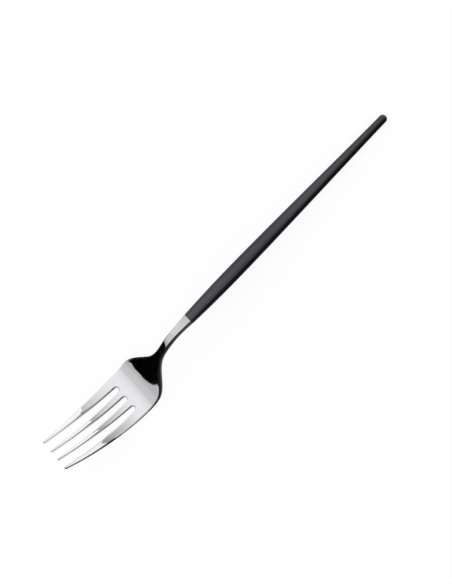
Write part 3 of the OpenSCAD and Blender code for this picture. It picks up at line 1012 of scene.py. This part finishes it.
# %% Floor
# How much of the paper, as the camera and reflections see it, is a glow of its own
GLOW_SHARE = 0.9
floor_mesh = bpy.data.meshes.new("Floor")
reach = 3.0
corners = [(-reach, -reach, 0), (reach, -reach, 0), (reach, reach, 0), (-reach, reach, 0)]
floor_mesh.from_pydata(corners, [], [(0, 1, 2, 3)])
floor = bpy.data.objects.new("Floor", floor_mesh)
scene.collection.objects.link(floor)
paper, paper_tree, paper_shader = new_material("White paper")
paper_shader.inputs["Base Color"].default_value = (0.97, 0.97, 0.97, 1)
paper_shader.inputs["Roughness"].default_value = 1.0
paper_shader.inputs["Specular IOR Level"].default_value = 0.0
paper_glow = paper_tree.nodes.new("ShaderNodeEmission")
paper_path = paper_tree.nodes.new("ShaderNodeLightPath")
paper_mix = paper_tree.nodes.new("ShaderNodeMixShader")
sums = Sums(paper_tree)
seen = sums.math("MAXIMUM", paper_path.outputs["Is Camera Ray"],
                 paper_path.outputs["Is Glossy Ray"])
seen = sums.math("MAXIMUM", seen, paper_path.outputs["Is Transmission Ray"])
paper_tree.links.new(sums.times(seen, GLOW_SHARE), paper_mix.inputs[0])
paper_tree.links.new(paper_shader.outputs[0], paper_mix.inputs[1])
paper_tree.links.new(paper_glow.outputs[0], paper_mix.inputs[2])
paper_out = next(n for n in paper_tree.nodes if n.type == "OUTPUT_MATERIAL")
paper_tree.links.new(paper_mix.outputs[0], paper_out.inputs["Surface"])
floor_mesh.materials.append(paper)
print("floor:", 2 * reach, "m square")

# %% The cards
# How bright a ramp card is for a reflection that leaves towards each place along X
CARDS = ((-1.0, 0.40), (-0.86, 0.52), (-0.72, 0.86), (-0.62, 1.03), (-0.436, 1.02),
         (-0.423, 0.38), (-0.38, 0.46), (-0.33, 0.58), (-0.25, 0.70), (-0.15, 0.86),
         (-0.07, 0.99), (0.04, 1.01), (0.21, 0.91), (0.33, 0.82), (0.36, 0.71), (0.52, 0.68),
         (0.60, 0.55), (0.76, 0.60), (0.90, 0.95))
# How far that ramp's end near -0.43 is shifted for each place along Y, plus TEETH_ZERO
TEETH = ((-0.54, 0.122), (-0.50, 0.104), (-0.48, 0.112), (-0.455, 0.130), (-0.41, 0.130),
         (-0.36, 0.125), (-0.33, 0.123), (-0.30, 0.115), (-0.275, 0.096), (-0.25, 0.085))
TEETH_ZERO = 0.1
# Where the black card begins along X, for each place along Y
BLACK_CARD = ((-0.48, 0.735), (-0.471, 0.713), (-0.459, 0.682), (-0.447, 0.665),
              (-0.435, 0.650), (-0.42, 0.638), (-0.40, 0.626), (-0.38, 0.638),
              (-0.34, 0.637), (-0.33, 0.646), (-0.31, 0.677), (-0.303, 0.672),
              (-0.29, 0.655))
# How much brighter the end card is for each place along Y
END_CARD = ((-0.48, 0.97), (-0.45, 1.11), (-0.38, 1.06), (-0.31, 0.83))
SIDE_CARD = (0.75, 0.98)
WHITE_CARD, WHITE_LEVEL = (-0.64, -0.56), 1.1
RAMP_END = (-0.436, -0.423)


def card_level(tree, sums, x, y):
    """How bright the cards behind and above the fork are, from their places along X and Y."""
    tooth = sums.minus(steps_along(tree, y, TEETH, 1, 0.2), TEETH_ZERO)
    bent = sums.minus(x, sums.times(tooth, falling(tree, x, -0.38, -0.31)))
    level = steps_along(tree, bent, CARDS, 1, 2)
    lift = sums.held(sums.math("MULTIPLY_ADD", sums.plus(y, 0.43), 2.5, 1), 0.9, 1.3)
    lifted = sums.times(rising(tree, x, *RAMP_END), falling(tree, x, -0.30, -0.05))
    level = sums.times(level, sums.mix(1, lift, lifted))
    near_end = spread(tree, y, 1.06, 1.32, -0.42, -0.30)
    level = sums.times(level, sums.mix(1, near_end, falling(tree, x, -0.39, -0.32)))
    end_card = steps_along(tree, y, END_CARD, 0.5, 2)
    level = sums.times(level, sums.mix(1, end_card, falling(tree, x, -0.43, -0.41)))
    white = sums.times(falling(tree, y, *WHITE_CARD), falling(tree, x, 0.3, 0.5))
    level = sums.mix(level, WHITE_LEVEL, white)
    dark_end = sums.times(rising(tree, x, -0.50, -0.44), falling(tree, x, -0.38, -0.30))
    dark = spread(tree, y, 1, 0.1, -0.29, -0.10)
    return sums.times(level, sums.mix(1, dark, dark_end))


def black_share(tree, sums, x, y):
    """Next to nothing on the black card, 1 beyond it on every side."""
    past = sums.minus(x, steps_along(tree, y, BLACK_CARD, 0.5, 1))
    before = spread(tree, past, 1, 0.001, -0.006, 0.006)
    beyond = sums.math("MAXIMUM", rising(tree, x, 0.83, 0.86), rising(tree, y, -0.26, -0.18))
    return sums.math("MAXIMUM", before, beyond)


def side_share(tree, sums, y, z):
    """Darker towards the horizon and towards the +Y side."""
    side = sums.times(spread(tree, y, 1, 0.01, *SIDE_CARD), spread(tree, z, 0.55, 1, 0.0, 0.38))
    return sums.times(side, spread(tree, y, 1, 0.78, -0.05, 0.35))


print("cards:", len(CARDS), "brightness steps and", len(BLACK_CARD), "places on the black edge")

# %% The world


def studio_world():
    """White for the camera, even light for all dull surfaces, and cards for the polished ones."""
    world = bpy.data.worlds.new("Studio")
    world.use_nodes = True
    tree = world.node_tree
    tree.nodes.clear()
    sums = Sums(tree)
    way = tree.nodes.new("ShaderNodeSeparateXYZ")
    tree.links.new(tree.nodes.new("ShaderNodeTexCoord").outputs["Generated"], way.inputs[0])
    x, y, z = way.outputs
    level = sums.times(card_level(tree, sums, x, y), black_share(tree, sums, x, y))
    cards = tree.nodes.new("ShaderNodeBackground")
    cards.inputs["Color"].default_value = (0.99, 0.99, 1.0, 1)
    tree.links.new(sums.times(level, side_share(tree, sums, y, z)), cards.inputs["Strength"])
    sky = tree.nodes.new("ShaderNodeBackground")
    sky.inputs["Color"].default_value = (1, 1, 1, 1)
    sky.inputs["Strength"].default_value = 1.0
    path = tree.nodes.new("ShaderNodeLightPath")
    pick = tree.nodes.new("ShaderNodeMixShader")
    tree.links.new(path.outputs["Is Glossy Ray"], pick.inputs[0])
    tree.links.new(sky.outputs[0], pick.inputs[1])
    tree.links.new(cards.outputs[0], pick.inputs[2])
    tree.links.new(pick.outputs[0], tree.nodes.new("ShaderNodeOutputWorld").inputs[0])
    return world


scene.world = studio_world()
print("world:", scene.world.name, "with", len(scene.world.node_tree.nodes), "nodes")

# %% Finish
print("scene built")
